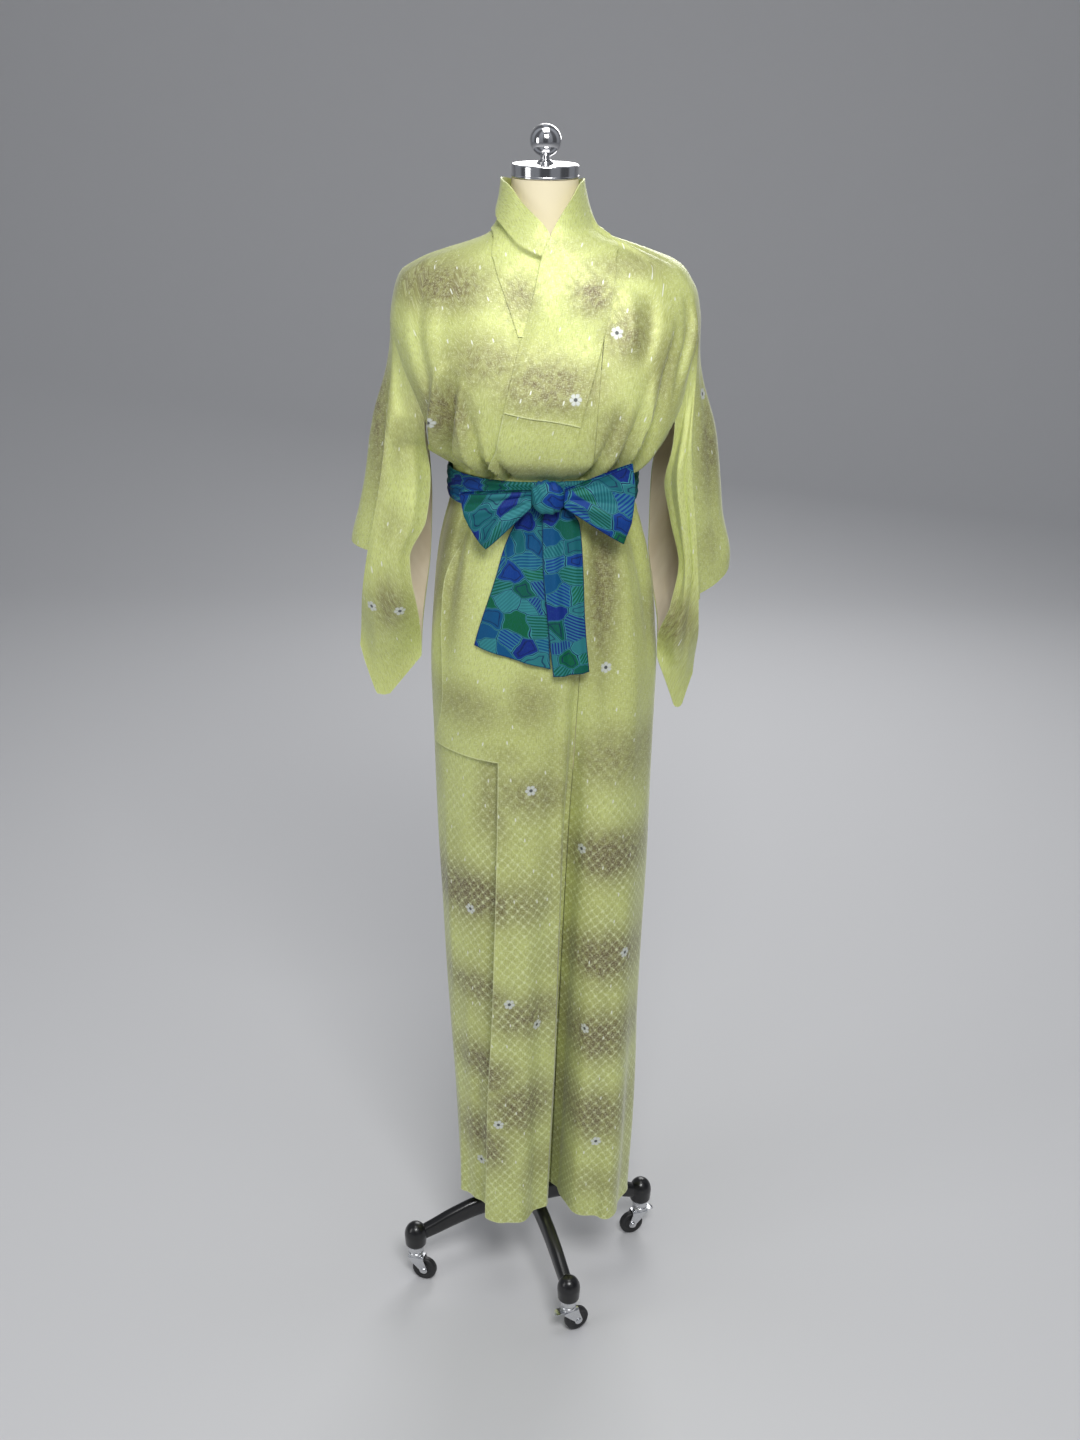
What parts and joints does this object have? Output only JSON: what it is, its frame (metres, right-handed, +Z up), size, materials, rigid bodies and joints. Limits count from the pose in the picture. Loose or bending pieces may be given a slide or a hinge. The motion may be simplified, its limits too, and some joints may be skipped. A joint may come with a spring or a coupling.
{
  "type": "kimono robe on dress form",
  "caption": "Damask silk kimono robe, closed left over right and tied with a cloth sash, on a limbless dress form with a chrome neck cap and a rolling cast base.",
  "frame": {"origin": "on the floor, under the axis of the pole", "axes": "+Z up along the pole, -Y the way the robe faces, +X the wearer's left"},
  "size_m": [0.5329, 0.4213, 1.7995],
  "materials": {
    "silk": "satin damask, lime green with soft brown shading and small white flowers",
    "lining": "matt beige plain weave",
    "sash_cloth": "fine plain weave, printed in blues, teals and greens",
    "form_cloth": "stretched matt cream jersey",
    "chrome": "polished chrome",
    "cast_iron": "gloss black paint over cast iron",
    "zinc": "bright zinc plate on pressed steel",
    "wheel_rubber": "satin black hard rubber"
  },
  "bodies": {
    "robe_and_form": {"base": "cast_iron", "body_left": "silk", "body_right": "silk", "bow_loop_left": "sash_cloth", "bow_loop_right": "sash_cloth", "collar_left": "silk", "collar_right": "silk", "finial": "chrome", "form_torso": "form_cloth", "neck_cap": "chrome", "okumi_left": "silk", "okumi_right": "silk", "over_collar_left": "silk", "over_collar_right": "silk", "pole": "chrome", "sash_band": "sash_cloth", "sash_knot": "sash_cloth", "sash_tail_narrow": "sash_cloth", "sash_tail_wide": "sash_cloth", "sleeve_left": "silk", "sleeve_lining_left": "lining", "sleeve_lining_right": "lining", "sleeve_right": "silk"},
    "fork_1": {"caster_fork_1": "zinc"},
    "fork_2": {"caster_fork_2": "zinc"},
    "fork_3": {"caster_fork_3": "zinc"},
    "fork_4": {"caster_fork_4": "zinc"},
    "wheel_1": {"caster_wheel_1": "wheel_rubber"},
    "wheel_2": {"caster_wheel_2": "wheel_rubber"},
    "wheel_3": {"caster_wheel_3": "wheel_rubber"},
    "wheel_4": {"caster_wheel_4": "wheel_rubber"}
  },
  "joints": [
    {"name": "caster_1_swivel", "type": "hinge", "parent": "robe_and_form", "child": "fork_1", "pos_m": [0.18587, 0.06219, 0.06], "axis": [0, 0, 1], "continuous": true},
    {"name": "caster_2_swivel", "type": "hinge", "parent": "robe_and_form", "child": "fork_2", "pos_m": [-0.06219, 0.18587, 0.06], "axis": [0, 0, 1], "continuous": true},
    {"name": "caster_3_swivel", "type": "hinge", "parent": "robe_and_form", "child": "fork_3", "pos_m": [-0.18587, -0.06219, 0.06], "axis": [0, 0, 1], "continuous": true},
    {"name": "caster_4_swivel", "type": "hinge", "parent": "robe_and_form", "child": "fork_4", "pos_m": [0.06219, -0.18587, 0.06], "axis": [0, 0, 1], "continuous": true},
    {"name": "caster_1_roll", "type": "hinge", "parent": "fork_1", "child": "wheel_1", "pos_m": [0.17178, 0.05706, 0.02], "axis": [0.342, -0.9397, 0], "continuous": true},
    {"name": "caster_2_roll", "type": "hinge", "parent": "fork_2", "child": "wheel_2", "pos_m": [-0.05469, 0.19886, 0.02], "axis": [-0.866, 0.5, 0], "continuous": true},
    {"name": "caster_3_roll", "type": "hinge", "parent": "fork_3", "child": "wheel_3", "pos_m": [-0.17138, -0.06607, 0.02], "axis": [0.2588, 0.9659, 0], "continuous": true},
    {"name": "caster_4_roll", "type": "hinge", "parent": "fork_4", "child": "wheel_4", "pos_m": [0.07518, -0.17837, 0.02], "axis": [-0.5, 0.866, 0], "continuous": true}
  ]
}
